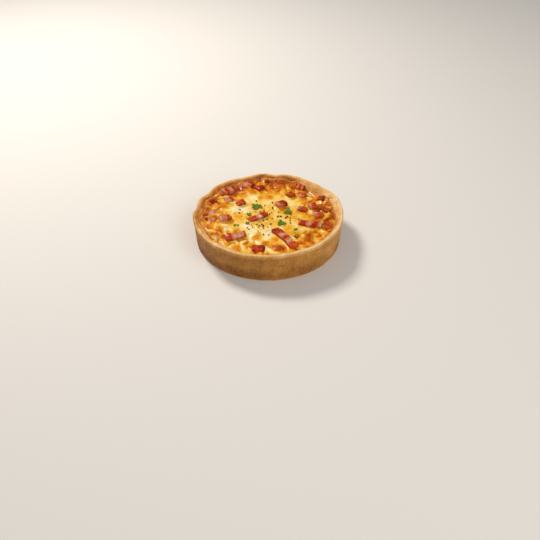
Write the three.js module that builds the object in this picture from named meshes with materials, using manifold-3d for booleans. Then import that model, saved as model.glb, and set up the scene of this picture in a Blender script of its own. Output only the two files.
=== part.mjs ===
// A small deep quiche with cured pork, about 120 mm across: a baked pastry case, a set egg and
// cheese custard, diced and sliced lardons half sunk in it, chopped parsley, and cracked pepper.
// Millimetres, +Z up. The origin is under the middle of the case, on what it stands on, and
// +Y runs towards the back of the quiche.
import * as THREE from "three";
import { mergeVertices } from "three/addons/utils/BufferGeometryUtils.js";
import Module from "manifold-3d";

const wasm = await Module();
wasm.setup();

// Driving dimensions of the pastry case
const RIM_DIAMETER = 120; // over the lip
const CASE_HEIGHT = 23.8; // from the base to the top of the lip
const BASE_DIAMETER = 116.4;
const BASE_THICKNESS = 4;
const LIP_THICKNESS = 4.8; // from its outside to the custard
const LIP_BEAD_RADIUS = 1.7; // the lip is pinched up by hand to a rounded crest near its outside
const LIP_FLAT_DROP = 0.7; // how much lower than the crest the lip's inner edge is
const LIP_OVERHANG = 0.5; // how far the crest stands out over the wall
const BASE_EDGE_RADIUS = 1.3;
const CASE_SEGMENTS = 72; // the custard has as many, so its facets lie along the case's

// Driving dimensions of the custard
const CUSTARD_DROP = 3.4; // from the top of the lip down to the custard's edge
const CUSTARD_DOME = 0.9; // how much higher its middle is
const CUSTARD_GAP = 0.3; // clearance to the pastry at its skin, and to every topping
const WALL_GAP = 0.6; // clearance to the pastry below its skin, where the facets of the two cross
const CUSTARD_RINGS = 15;

const LARDON_DEPTH = 6.5; // height of a lardon, mostly sunk
const LARDON_ROUNDING = 0.9; // cut edges rounded by baking
const STRIP_LENGTH = 15; // a lardon longer than this bends along its length
const LEAF_THICKNESS = 0.5;
const LEAF_LIFT = 0.25; // air under a leaf
const PEPPER_GRAINS = 44;
const PEPPER_RADIUS = 0.7;
const SEED = 4127;

const rimRadius = RIM_DIAMETER / 2;
const baseRadius = BASE_DIAMETER / 2;
const beadCentreRadius = rimRadius - LIP_BEAD_RADIUS;
const beadCentreHeight = CASE_HEIGHT - LIP_BEAD_RADIUS;
const innerRimRadius = rimRadius - LIP_THICKNESS;
const wallTopRadius = rimRadius - LIP_OVERHANG;
const innerBaseRadius = baseRadius - BASE_THICKNESS;
const custardLevel = CASE_HEIGHT - CUSTARD_DROP;
const custardRadius = innerRimRadius - 0.3 - CUSTARD_GAP;
// The wall is drawn in towards the floor, and meets it in a slanted corner
const underCustardRadius = innerRimRadius - 0.5;
const cornerTopRadius = innerBaseRadius + 0.8;
const cornerTop = BASE_THICKNESS + 5;
const floorRadius = innerBaseRadius - 1.2;

// Places where the lip was pinched, leaned or lapped over: plan angle in degrees, spread in degrees,
// how far it stands out and how far it stands up there, in millimetres.
const LIP_PINCHES = [
  { at: 22, spread: 7, out: 0.8, up: 0.5 },
  { at: 39, spread: 4, out: -0.7, up: -0.2 },
  { at: 54, spread: 5, out: -1.2, up: -0.6 },
  { at: 70, spread: 6, out: -0.7, up: -0.2 },
  { at: 85, spread: 4.5, out: -2, up: -0.7 },
  { at: 107, spread: 8, out: -2, up: -0.5 },
  { at: 128, spread: 8, out: -1.0, up: -0.4 },
  { at: 151, spread: 6, out: -2.5, up: -1 },
  { at: 172, spread: 6, out: -1.9, up: -0.4 },
  { at: 187, spread: 7, out: -0.4, up: 0.2 },
  { at: 207, spread: 6, out: -1, up: -0.8 },
  { at: 218, spread: 5, out: 0.4, up: 0.8 },
  { at: 240, spread: 9, out: -0.4, up: 0.5 },
  { at: 263, spread: 8, out: -0.4, up: 0.9 },
  { at: 292, spread: 12, out: -0.8, up: 0.5 },
  { at: 322, spread: 9, out: -0.2, up: 0.7 },
  { at: 345, spread: 8, out: -0.2, up: -0.2 },
];
const LIP_LEAN = { x: -0.2, y: -0.2 }; // the whole lip sits a little off the middle of the base
// Where the wall slumped inwards as it baked, so that its inside slopes: plan angle, spread and distance
const SLUMPS = [
  { at: 42, spread: 11, inwards: 3.8 },
  { at: 8, spread: 13, inwards: 1.8 },
  { at: 178, spread: 11, inwards: 1.8 },
  { at: 213, spread: 8, inwards: 2 },
];

// Blisters and toasted mounds in the custard: place, radius and height in millimetres.
const BLISTERS = [
  { x: 7.4, y: -46.9, radius: 4.2, height: 1.7 },
  { x: 30.4, y: -32.4, radius: 3.6, height: 1.6 },
  { x: -37.6, y: -22.4, radius: 3.8, height: 1.3 },
  { x: -9.1, y: -32.4, radius: 3.2, height: 0.9 },
  { x: -2.1, y: -39.4, radius: 2.6, height: 1.1 },
  { x: 0.9, y: 23.6, radius: 3.0, height: 0.9 },
  { x: -7.1, y: 22.1, radius: 2.4, height: 0.8 },
  { x: 9.4, y: 36.6, radius: 4.5, height: 1.2 },
  { x: -13.6, y: 30.6, radius: 4.2, height: 1.1 },
  { x: -37.6, y: 8.6, radius: 4.0, height: 1.2 },
  { x: -43.6, y: 9.6, radius: 3.0, height: 0.9 },
  { x: -46.6, y: -19.4, radius: 3.4, height: 1.1 },
  { x: 52.4, y: 12.6, radius: 2.6, height: 1.2 },
  { x: 20.4, y: 42.6, radius: 3.2, height: 1.2 },
  { x: -22.6, y: -46.4, radius: 3.2, height: 0.9 },
];

// Each lardon: its middle, length, width, height above the custard, and turn in plan, counter-clockwise
// from +X. Cubes are as long as they are wide; the long ones are strips of streaky pork.
const LARDONS = [
  { x: -33.1, y: 32.2, long: 11.5, wide: 7, proud: 2.8, turn: 35 },
  { x: -16.9, y: 42.2, long: 10, wide: 6.4, proud: 2.8, turn: 24 },
  { x: -6.6, y: 35.6, long: 7.6, wide: 7, proud: 3, turn: 38 },
  { x: -1.1, y: 47.6, long: 4, wide: 3.6, proud: 2.8, turn: 12 },
  { x: 12.4, y: 45.6, long: 11, wide: 4, proud: 1.5, turn: -8 },
  { x: 27.6, y: 36.6, long: 6.8, wide: 6.4, proud: 3.2, turn: -20 },
  { x: 18.9, y: 26, long: 6.8, wide: 6.2, proud: 3, turn: 42 },
  { x: 28.4, y: 24.4, long: 7, wide: 5.8, proud: 2.2, turn: 15 },
  { x: 43.1, y: 20.6, long: 6, wide: 5.6, proud: 3.2, turn: -12 },
  { x: -45, y: 16.4, long: 6.4, wide: 4.8, proud: 2, turn: -45 },
  { x: -31.6, y: 18.6, long: 7, wide: 6, proud: 2.6, turn: 30 },
  { x: -22.5, y: 13.6, long: 7.2, wide: 6, proud: 2.5, turn: 30 },
  { x: 10.3, y: 10.9, long: 8.8, wide: 7.2, proud: 2.9, turn: 35 },
  { x: 27.9, y: 4.6, long: 8, wide: 6.4, proud: 2.5, turn: -30 },
  { x: 36.4, y: 8.2, long: 7, wide: 6.8, proud: 3.3, turn: 20 },
  { x: 45.9, y: 4.1, long: 9.6, wide: 4.4, proud: 2.2, turn: -50 },
  { x: 39.2, y: -3, long: 8.6, wide: 6.2, proud: 1.7, turn: -30 },
  { x: 47.7, y: -8.2, long: 10.6, wide: 3.4, proud: 1.5, turn: 40 },
  { x: 32.8, y: -15.4, long: 18.8, wide: 6.6, proud: 2.5, turn: -12 },
  { x: -34.1, y: -7.8, long: 9.4, wide: 7.2, proud: 2.8, turn: 20 },
  { x: -45.4, y: -9, long: 8.8, wide: 5.2, proud: 1.2, turn: -6 },
  { x: -44.2, y: 0.8, long: 6.2, wide: 4.8, proud: 1.4, turn: 58 },
  { x: -8, y: -6.8, long: 17.4, wide: 6.2, proud: 2.5, turn: 33 },
  { x: 12.9, y: -34, long: 26.5, wide: 7, proud: 2.8, turn: -54 },
  { x: -24.2, y: -31.6, long: 16.4, wide: 6.6, proud: 2.6, turn: 22 },
  { x: -7.1, y: -47.4, long: 9.4, wide: 6.4, proud: 2.9, turn: -5 },
  { x: -38.6, y: -30, long: 5.4, wide: 4.4, proud: 0.9, turn: 56 },
  { x: 34.4, y: 27.6, long: 5.6, wide: 4, proud: 0.9, turn: -50 },
  { x: 47, y: -17.6, long: 6.8, wide: 5, proud: 1.9, turn: 70 },
];

// Each piece of chopped parsley: its middle, how far it spreads, and how it is turned.
const LEAVES = [
  { x: -9.4, y: 9, spread: 4.3, turn: 20 },
  { x: 16, y: 2, spread: 3.7, turn: 75 },
  { x: 10.4, y: -13.8, spread: 3.6, turn: 160 },
  { x: -15.2, y: -1.2, spread: 2.1, turn: 250 },
  { x: -24.8, y: -16.8, spread: 2.3, turn: 310 },
  { x: -16.2, y: -14, spread: 1.7, turn: 200 },
  { x: 21.8, y: -22.6, spread: 1.8, turn: 110 },
  { x: 21.4, y: -30.2, spread: 1.5, turn: 30 },
];
const LARGE_LEAF = 3; // from this spread on a leaf is cut more finely

const radians = THREE.MathUtils.degToRad;

// Park and Miller's generator: the same draw every time the model is made
let randomState = SEED;
function random() {
  randomState = (randomState * 16807) % 2147483647;
  return randomState / 2147483647;
}

// A bump round the rim that fades away on both sides of a plan angle
function pinchShare(angle, pinch) {
  let apart = (THREE.MathUtils.radToDeg(angle) - pinch.at) % 360;
  if (apart > 180) apart -= 360;
  if (apart < -180) apart += 360;
  return Math.exp(-0.5 * (apart / pinch.spread) ** 2);
}

// How far the hand-made lip stands out and up at a plan angle
function lipWave(angle) {
  let out = LIP_LEAN.x * Math.cos(angle) + LIP_LEAN.y * Math.sin(angle);
  out += 0.12 * Math.sin(5 * angle + 0.7) + 0.08 * Math.sin(11 * angle + 2.1);
  let up = 0.35 * Math.sin(3 * angle - 2.1) + 0.12 * Math.sin(8 * angle + 0.4);
  for (const pinch of LIP_PINCHES) {
    const share = pinchShare(angle, pinch);
    out += pinch.out * share;
    up += pinch.up * share;
  }
  return { out, up };
}

// How far the inside of the wall, and the custard against it, lies inwards where the wall slumped. It is
// the same all the way up to the custard's level, so that the two surfaces keep their distance.
function slumpedBy(angle, radius, height) {
  if (height < BASE_THICKNESS - 0.5) return 0;
  const step = THREE.MathUtils.smoothstep;
  const belowTheLip = 1 - step(height, custardLevel + 1, CASE_HEIGHT - 1);
  const onTheInside = step(radius, 44, 53) * (1 - step(radius, innerRimRadius + 0.1, beadCentreRadius));
  let inwards = 0;
  for (const slump of SLUMPS) inwards += slump.inwards * pinchShare(angle, slump);
  return inwards * belowTheLip * onTheInside;
}

// The unevenness grows from nothing at the flat base to its full size at the lip
function leanedPoint(point) {
  const angle = Math.atan2(point.y, point.x);
  const radius = Math.hypot(point.x, point.y);
  const share = THREE.MathUtils.smoothstep(point.z, 0, CASE_HEIGHT);
  const wall = THREE.MathUtils.smoothstep(radius, innerBaseRadius - 6, innerBaseRadius);
  const wave = lipWave(angle);
  const leaned = radius + wave.out * share * wall - slumpedBy(angle, radius, point.z);
  point.x = Math.cos(angle) * leaned;
  point.y = Math.sin(angle) * leaned;
  point.z += wave.up * share * wall;
  return point;
}

function reshape(geometry, change) {
  const place = geometry.getAttribute("position");
  const point = new THREE.Vector3();
  for (let i = 0; i < place.count; i++) {
    change(point.fromBufferAttribute(place, i));
    place.setXYZ(i, point.x, point.y, point.z);
  }
  return geometry;
}

// A closed geometry as a solid that can be cut and joined
function solidFrom(geometry) {
  const bare = geometry.clone();
  bare.deleteAttribute("normal");
  bare.deleteAttribute("uv");
  const merged = mergeVertices(bare, 1e-3);
  return new wasm.Manifold(
    new wasm.Mesh({
      numProp: 3,
      vertProperties: new Float32Array(merged.getAttribute("position").array),
      triVerts: new Uint32Array(merged.index.array),
    }),
  );
}

function geometryFrom(solid) {
  const mesh = solid.getMesh();
  const geometry = new THREE.BufferGeometry();
  geometry.setAttribute("position", new THREE.BufferAttribute(mesh.vertProperties, 3));
  geometry.setIndex(new THREE.BufferAttribute(mesh.triVerts, 1));
  geometry.computeVertexNormals();
  return geometry;
}

// Points on an arc in the lathe's half plane, from one angle to another in degrees
function arcPoints(radius, height, size, from, to, steps) {
  const points = [];
  for (let i = 0; i <= steps; i++) {
    const turn = radians(from + ((to - from) * i) / steps);
    points.push(new THREE.Vector2(radius + size * Math.cos(turn), height + size * Math.sin(turn)));
  }
  return points;
}

// A profile of radius and height, turned round the vertical axis
function turned(profile, segments) {
  return new THREE.LatheGeometry(profile, segments).rotateX(Math.PI / 2);
}

function pastryCase() {
  const edge = BASE_EDGE_RADIUS;
  const wallFoot = BASE_EDGE_RADIUS + 1;
  const wallHead = beadCentreHeight - LIP_BEAD_RADIUS * 1.1;
  const wall = [0.33, 0.67, 1].map(
    (share) =>
      new THREE.Vector2(
        baseRadius + (wallTopRadius - baseRadius) * share,
        wallFoot + (wallHead - wallFoot) * share,
      ),
  );
  const profile = [
    new THREE.Vector2(0, 0),
    new THREE.Vector2(innerBaseRadius - 6, 0),
    ...arcPoints(baseRadius - edge, edge, edge, -90, 0, 3),
    ...wall,
    ...arcPoints(beadCentreRadius, beadCentreHeight, LIP_BEAD_RADIUS, -40, 110, 5),
    new THREE.Vector2(innerRimRadius + 1.2, CASE_HEIGHT - LIP_FLAT_DROP),
    new THREE.Vector2(innerRimRadius, custardLevel + 0.8),
    new THREE.Vector2(underCustardRadius, custardLevel - 1),
    new THREE.Vector2(cornerTopRadius, cornerTop),
    new THREE.Vector2(floorRadius, BASE_THICKNESS),
    new THREE.Vector2(0, BASE_THICKNESS),
  ];
  return reshape(turned(profile, CASE_SEGMENTS), leanedPoint);
}

// Height of the custard's skin: a low dome with swells and blisters, creeping up the pastry at its edge
function custardHeight(x, y) {
  const radius = Math.hypot(x, y);
  const share = radius / innerRimRadius;
  let height = custardLevel + CUSTARD_DOME * (1 - share * share);
  height += 0.3 * Math.sin(x / 6.1 + 0.6) * Math.cos(y / 7.3 - 0.4);
  height += 0.22 * Math.sin((x + y) / 4.4 + 1.9);
  height += 0.8 * Math.exp((radius - innerRimRadius) / 1.8);
  for (const blister of BLISTERS) {
    const apart = Math.hypot(x - blister.x, y - blister.y) / blister.radius;
    height += blister.height * Math.exp(-apart * apart);
  }
  return height;
}

// The custard before anything is set in it: its sides follow the inside of the case
function bareCustard() {
  const profile = [
    new THREE.Vector2(0, BASE_THICKNESS + CUSTARD_GAP),
    new THREE.Vector2(floorRadius - WALL_GAP, BASE_THICKNESS + CUSTARD_GAP),
    new THREE.Vector2(cornerTopRadius - WALL_GAP, cornerTop),
    new THREE.Vector2(underCustardRadius - WALL_GAP, custardLevel - 1),
  ];
  for (let ring = 0; ring <= CUSTARD_RINGS; ring++)
    profile.push(new THREE.Vector2(custardRadius * (1 - ring / CUSTARD_RINGS), custardLevel));
  return reshape(turned(profile, CASE_SEGMENTS), (point) => {
    if (point.z > custardLevel - 0.5) point.z = custardHeight(point.x, point.y);
    if (Math.hypot(point.x, point.y) > 1) leanedPoint(point);
  });
}

// A box with rounded edges. Its four cuts across are at the edges, and the cuts along it are shared out
// between the rounded ends.
function roundedBox(long, wide, high, rounding, cuts) {
  const half = new THREE.Vector3(long / 2, wide / 2, high / 2);
  const core = half.clone().subScalar(rounding);
  const corner = new THREE.Vector3();
  const across = rounding > 0 ? 3 : 1;
  return reshape(new THREE.BoxGeometry(2, 2, 2, cuts, across, across), (point) => {
    const step = Math.round(((Math.abs(point.x) - 1) * cuts) / 2);
    const inner = core.x * (1 + (step + 1) / (cuts / 2 - 1));
    point.x = Math.sign(point.x) * (step === 0 ? half.x : inner);
    for (const axis of ["y", "z"])
      point[axis] = Math.sign(point[axis]) * (Math.abs(point[axis]) > 0.9 ? half[axis] : core[axis]);
    if (rounding === 0) return;
    corner.copy(point).clamp(core.clone().negate(), core);
    point.sub(corner).normalize().multiplyScalar(rounding).add(corner);
  });
}

// A knife never cuts square: each lardon narrows, leans and bows a little in its own way
function handCut(geometry, piece, number) {
  const taper = 0.1 * Math.sin(number * 2.3);
  const lean = 0.16 * Math.sin(number * 1.7 + 1);
  const bow = 0.035 * piece.long * Math.sin(number * 3.1 + 2);
  return reshape(geometry, (point) => {
    const along = point.x / (piece.long / 2);
    point.y = point.y * (1 + taper * along) + bow * (along * along - 0.4);
    point.x += lean * point.z;
  });
}

// A lardon, or the pocket it sits in when it is swollen by a clearance; the pocket has sharp edges
function lardonMesh(piece, number, swell) {
  const shape = handCut(
    roundedBox(
      piece.long + 2 * swell,
      piece.wide + 2 * swell,
      LARDON_DEPTH + 2 * swell,
      swell > 0 ? 0 : LARDON_ROUNDING,
      piece.long > STRIP_LENGTH ? 6 : 3,
    ),
    piece,
    number,
  );
  const mesh = new THREE.Mesh(shape, lardonFinish);
  const top = custardHeight(piece.x, piece.y) + piece.proud;
  mesh.position.set(piece.x, piece.y, top - LARDON_DEPTH / 2);
  mesh.rotation.set(
    0.07 * Math.sin(number * 1.9),
    0.07 * Math.cos(number * 2.7),
    radians(piece.turn),
    "ZXY",
  );
  return mesh;
}

// Outline of a scrap of parsley: a few rounded lobes with nicks between them
function leafReach(leaf, angle) {
  const lobes = 0.2 * Math.cos(3 * angle + leaf.turn) + 0.12 * Math.cos(5 * angle + 2 * leaf.turn);
  return leaf.spread * (0.8 + lobes);
}

// A thin wavy solid on rings of points, its two faces split into triangles alike. Rise and fall give
// its top and bottom above the leaf's own wavy surface, and margin widens it.
function leafGeometry(leaf, rise, fall, margin) {
  const points = [];
  const faces = [];
  const round = leaf.spread > LARGE_LEAF ? 16 : 10;
  const rings = [0.5, 1];
  const layer = 1 + rings.length * round;
  for (const lift of [rise, fall]) {
    for (const ring of [0, ...rings]) {
      for (let i = 0; i < (ring === 0 ? 1 : round); i++) {
        const angle = (2 * Math.PI * i) / round;
        const reach = ring * (leafReach(leaf, angle) + margin);
        const x = leaf.x + reach * Math.cos(angle + radians(leaf.turn));
        const y = leaf.y + reach * Math.sin(angle + radians(leaf.turn));
        const curl = 0.16 * ring * leaf.spread * (0.5 + 0.5 * Math.cos(2 * angle));
        points.push(x, y, custardHeight(x, y) + curl + lift);
      }
    }
  }
  const at = (face, ring, i) => face * layer + (ring === 0 ? 0 : 1 + (ring - 1) * round + (i % round));
  for (let i = 0; i < round; i++) {
    faces.push(at(0, 0, 0), at(0, 1, i), at(0, 1, i + 1));
    faces.push(at(1, 0, 0), at(1, 1, i + 1), at(1, 1, i));
    faces.push(at(0, 1, i), at(0, 2, i), at(0, 2, i + 1), at(0, 1, i), at(0, 2, i + 1), at(0, 1, i + 1));
    faces.push(at(1, 1, i), at(1, 2, i + 1), at(1, 2, i), at(1, 1, i), at(1, 1, i + 1), at(1, 2, i + 1));
    faces.push(at(0, 2, i), at(1, 2, i), at(1, 2, i + 1), at(0, 2, i), at(1, 2, i + 1), at(0, 2, i + 1));
  }
  const geometry = new THREE.BufferGeometry();
  geometry.setAttribute("position", new THREE.Float32BufferAttribute(points, 3));
  geometry.setIndex(faces);
  geometry.computeVertexNormals();
  return geometry;
}

// Whether a place on the custard is clear of every lardon and leaf by a margin
function isBare(x, y, margin) {
  for (const piece of LARDONS) {
    const turn = radians(piece.turn);
    const along = Math.cos(turn) * (x - piece.x) + Math.sin(turn) * (y - piece.y);
    const across = Math.cos(turn) * (y - piece.y) - Math.sin(turn) * (x - piece.x);
    if (Math.abs(along) < piece.long / 2 + margin && Math.abs(across) < piece.wide / 2 + margin)
      return false;
  }
  return LEAVES.every((leaf) => Math.hypot(x - leaf.x, y - leaf.y) > leaf.spread * 1.15 + margin);
}

// Cracked pepper, ground over the middle of the quiche and thinning out towards its edge
function pepperSolids() {
  const grains = [];
  while (grains.length < PEPPER_GRAINS) {
    const reach = 26 * Math.sqrt(-Math.log(1 - 0.86 * random()) / 2);
    const angle = 2 * Math.PI * random();
    const x = 1 + 1.15 * reach * Math.cos(angle);
    const y = -5 + reach * Math.sin(angle);
    const size = PEPPER_RADIUS * (0.75 + 0.5 * random());
    const turn = 2 * Math.PI * random();
    if (!isBare(x, y, 1.6)) continue;
    const grain = new THREE.IcosahedronGeometry(size, 0).scale(1.15, 0.8, 0.75).rotateZ(turn);
    grain.rotateX(turn).translate(x, y, custardHeight(x, y) + 0.2);
    grains.push(solidFrom(grain));
  }
  return grains;
}

// The custard with a pocket for each lardon, a shallow bed for each leaf, and the pepper stuck on it
function custard() {
  let solid = solidFrom(bareCustard());
  for (const grain of pepperSolids()) solid = solid.add(grain);
  LARDONS.forEach((piece, number) => {
    const pocket = lardonMesh(piece, number, CUSTARD_GAP);
    pocket.updateMatrix();
    solid = solid.subtract(solidFrom(pocket.geometry.applyMatrix4(pocket.matrix)));
  });
  for (const leaf of LEAVES) {
    const bed = leafGeometry(leaf, LEAF_LIFT + LEAF_THICKNESS + 1, LEAF_LIFT - CUSTARD_GAP, CUSTARD_GAP);
    solid = solid.subtract(solidFrom(bed));
  }
  return geometryFrom(solid);
}

const pastryFinish = new THREE.MeshStandardMaterial({ color: "#c98f4e", roughness: 0.75, metalness: 0 });
const custardFinish = new THREE.MeshStandardMaterial({ color: "#f2c04e", roughness: 0.4, metalness: 0 });
const lardonFinish = new THREE.MeshStandardMaterial({ color: "#b2452f", roughness: 0.35, metalness: 0 });
const parsleyFinish = new THREE.MeshStandardMaterial({ color: "#3f7a14", roughness: 0.5, metalness: 0 });

function named(mesh, name) {
  mesh.name = name;
  return mesh;
}

const twoDigits = (number) => String(number + 1).padStart(2, "0");

const quiche = new THREE.Group();
quiche.add(named(new THREE.Mesh(pastryCase(), pastryFinish), "pastry_case"));
quiche.add(named(new THREE.Mesh(custard(), custardFinish), "custard"));
LARDONS.forEach((piece, number) => {
  quiche.add(named(lardonMesh(piece, number, 0), "lardon_" + twoDigits(number)));
});
LEAVES.forEach((leaf, number) => {
  const shape = leafGeometry(leaf, LEAF_LIFT + LEAF_THICKNESS, LEAF_LIFT, 0);
  quiche.add(named(new THREE.Mesh(shape, parsleyFinish), "parsley_" + twoDigits(number)));
});

export default quiche;
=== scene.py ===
# A small deep quiche, freshly baked: a shortcrust case with a hand-pinched lip, a set egg custard under
# melted and toasted cheese, lardons, chopped parsley and cracked pepper. The frame is in metres. The
# shapes are worked out in millimetres, as the model's are, and are turned into metres by mesh_piece.
import math

import bpy
import numpy as np
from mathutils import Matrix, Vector


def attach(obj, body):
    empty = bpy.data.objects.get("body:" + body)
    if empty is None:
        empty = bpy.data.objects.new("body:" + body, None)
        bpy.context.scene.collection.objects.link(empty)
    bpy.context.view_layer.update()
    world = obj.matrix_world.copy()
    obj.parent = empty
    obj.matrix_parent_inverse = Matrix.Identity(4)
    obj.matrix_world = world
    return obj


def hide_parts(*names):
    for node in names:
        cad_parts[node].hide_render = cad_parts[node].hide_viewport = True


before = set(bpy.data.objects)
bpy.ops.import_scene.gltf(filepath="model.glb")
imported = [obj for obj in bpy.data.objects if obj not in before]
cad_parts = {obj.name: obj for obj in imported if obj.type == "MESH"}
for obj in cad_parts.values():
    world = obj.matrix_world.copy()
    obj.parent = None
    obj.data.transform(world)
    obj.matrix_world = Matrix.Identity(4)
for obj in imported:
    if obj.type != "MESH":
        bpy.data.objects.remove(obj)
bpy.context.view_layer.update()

MM = 0.001

# Driving dimensions, as in the model
RIM_DIAMETER = 120
CASE_HEIGHT = 23.8
BASE_DIAMETER = 116.4
BASE_THICKNESS = 4
LIP_THICKNESS = 4.8
LIP_BEAD_RADIUS = 1.7
LIP_FLAT_DROP = 0.7
LIP_OVERHANG = 0.5
BASE_EDGE_RADIUS = 1.3
CUSTARD_DROP = 3.4
CUSTARD_DOME = 0.9
CUSTARD_GAP = 0.3
LARDON_DEPTH = 6.5
LARDON_ROUNDING = 0.9
LEAF_LIFT = 0.25
LEAF_THICKNESS = 0.35
PEPPER_GRAINS = 44
PEPPER_RADIUS = 0.7
PEPPER_SEED = 4127

RIM_RADIUS = RIM_DIAMETER / 2
BASE_RADIUS = BASE_DIAMETER / 2
BEAD_CENTRE_RADIUS = RIM_RADIUS - LIP_BEAD_RADIUS
BEAD_CENTRE_HEIGHT = CASE_HEIGHT - LIP_BEAD_RADIUS
INNER_RIM_RADIUS = RIM_RADIUS - LIP_THICKNESS
WALL_TOP_RADIUS = RIM_RADIUS - LIP_OVERHANG
INNER_BASE_RADIUS = BASE_RADIUS - BASE_THICKNESS
CUSTARD_LEVEL = CASE_HEIGHT - CUSTARD_DROP
CUSTARD_RADIUS = INNER_RIM_RADIUS + 0.1
UNDER_CUSTARD_RADIUS = INNER_RIM_RADIUS - 0.5
CORNER_TOP_RADIUS = INNER_BASE_RADIUS + 0.8
CORNER_TOP = BASE_THICKNESS + 5
FLOOR_RADIUS = INNER_BASE_RADIUS - 1.2

# Where the lip was pinched, leaned or lapped over: plan angle and spread in degrees, how far it
# stands out and how far it stands up there
LIP_PINCHES = [
    (22, 7, 0.8, 0.5), (39, 4, -0.7, -0.2), (54, 5, -1.2, -0.6), (70, 6, -0.7, -0.2),
    (85, 4.5, -2.0, -0.7), (107, 8, -2, -0.5), (128, 8, -1.0, -0.4), (151, 6, -2.5, -1),
    (172, 6, -1.9, -0.4), (187, 7, -0.4, 0.2), (207, 6, -1, -0.8), (218, 5, 0.4, 0.8),
    (240, 9, -0.4, 0.5), (263, 8, -0.4, 0.9), (292, 12, -0.8, 0.5), (322, 9, -0.2, 0.7),
    (345, 8, -0.2, -0.2),
]
LIP_LEAN = (-0.2, -0.2)
# Where the wall slumped inwards as it baked: plan angle, spread and distance
SLUMPS = [(42, 11, 3.8), (8, 13, 1.8), (178, 11, 1.8), (213, 8, 2)]

# Blisters in the custard's skin: place, radius and height
BLISTERS = [
    (7.4, -46.9, 4.2, 1.7), (30.4, -32.4, 3.6, 1.6), (-37.6, -22.4, 3.8, 1.3), (-9.1, -32.4, 3.2, 0.9),
    (-2.1, -39.4, 2.6, 1.1), (0.9, 23.6, 3.0, 0.9), (-7.1, 22.1, 2.4, 0.8), (9.4, 36.6, 4.5, 1.2),
    (-13.6, 30.6, 4.2, 1.1), (-37.6, 8.6, 4.0, 1.2), (-43.6, 9.6, 3.0, 0.9), (-46.6, -19.4, 3.4, 1.1),
    (52.4, 12.6, 2.6, 1.2), (20.4, 42.6, 3.2, 1.2), (-22.6, -46.4, 3.2, 0.9),
]

# Lardons: place, length, width, height above the custard, turn, and the bands of meat along it from its
# left end: F fat, P pale pink lean, O bright lean, R red lean, D dark cured lean, B browned by the oven
LARDONS = [
    (-33.1, 32.2, 11.5, 7, 2.8, 35, "PRPPD"),
    (-16.9, 42.2, 10, 6.4, 2.8, 24, "PPPDB"),
    (-6.6, 35.6, 7.6, 7, 3, 38, "RRDD"),
    (-1.1, 47.6, 4, 3.6, 2.8, 12, "BB"),
    (12.4, 45.6, 11, 4, 1.5, -8, "BBB"),
    (27.6, 36.6, 6.8, 6.4, 3.2, -20, "PRPD"),
    (18.9, 26, 6.8, 6.2, 3, 42, "BORB"),
    (28.4, 24.4, 7, 5.8, 2.2, 15, "FPOB"),
    (43.1, 20.6, 6, 5.6, 3.2, -12, "OBD"),
    (-45, 16.4, 6.4, 4.8, 2, -45, "RD"),
    (-31.6, 18.6, 7, 6, 2.6, 30, "PPD"),
    (-22.5, 13.6, 7.2, 6, 2.5, 30, "ROR"),
    (10.3, 10.9, 8.8, 7.2, 2.9, 35, "PPRDD"),
    (27.9, 4.6, 8, 6.4, 2.5, -30, "PBO"),
    (36.4, 8.2, 7, 6.8, 3.3, 20, "PORR"),
    (45.9, 4.1, 9.6, 4.4, 2.2, -50, "BBB"),
    (39.2, -3, 8.6, 6.2, 1.7, -30, "FPOB"),
    (47.7, -8.2, 10.6, 3.4, 1.5, 40, "BDB"),
    (32.8, -15.4, 18.8, 6.6, 2.5, -12, "PRRRPFPRRRPF"),
    (-34.1, -7.8, 9.4, 7.2, 2.8, 20, "FPPPBO"),
    (-45.4, -9, 8.8, 5.2, 1.2, -6, "DPP"),
    (-44.2, 0.8, 6.2, 4.8, 1.4, 58, "FP"),
    (-8, -6.8, 17.4, 6.2, 2.5, 33, "ORRRPFPRRO"),
    (12.9, -34, 26.5, 7, 2.8, -54, "ORRRRPFPRRPFFPOOOO"),
    (-24.2, -31.6, 16.4, 6.6, 2.6, 22, "DRRRPFFPFPPPB"),
    (-7.1, -47.4, 9.4, 6.4, 2.9, -5, "RORD"),
    (-38.6, -30, 5.4, 4.4, 0.9, 56, "FP"),
    (34.4, 27.6, 5.6, 4, 0.9, -50, "FF"),
    (47, -17.6, 6.8, 5, 1.9, 70, "OBO"),
]
STRIP_BANDS = 6  # a piece with more bands than this is a streaky strip
BAND_TONES = {"F": 0.1, "P": 0.27, "O": 0.52, "R": 0.66, "D": 0.8, "B": 0.86}

# Chopped parsley: place, spread and turn
LEAVES = [
    (-9.4, 9, 4.3, 20), (16, 2, 3.7, 75), (10.4, -13.8, 3.6, 160), (-15.2, -1.2, 2.1, 250),
    (-24.8, -16.8, 2.3, 310), (-16.2, -14, 1.7, 200), (21.8, -22.6, 1.8, 110), (21.4, -30.2, 1.5, 30),
]

# The pepper's scatter: its middle, and the dust, which the model doesn't have
PEPPER_MIDDLE = (1, -5)
DUST_GRAINS = 90
DUST_SEED = 5

# How finely the fine surfaces are cut
CASE_STEPS = 720
CUSTARD_STEPS = 290
LARDON_CUTS = 23
LARDON_CROWDING = 0.9  # of a quarter turn: how much its cuts crowd towards its edges
LEAF_ROUND = 72
LEAF_RINGS = 9
GRAIN_CUTS = 3
DUST_CUTS = 1

# How rough the pepper's cracks are, in millimetres, and how close together, as a noise's scale
GRAIN_CRACKS = 0.45
DUST_CRACKS = 0.1
CRACK_SCALE = 2200.0


# Tools for shapes

LATTICE = 32
LATTICE_SHIFT = 100.5  # keeps the corners of the lattice off the quiche's middle


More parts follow.
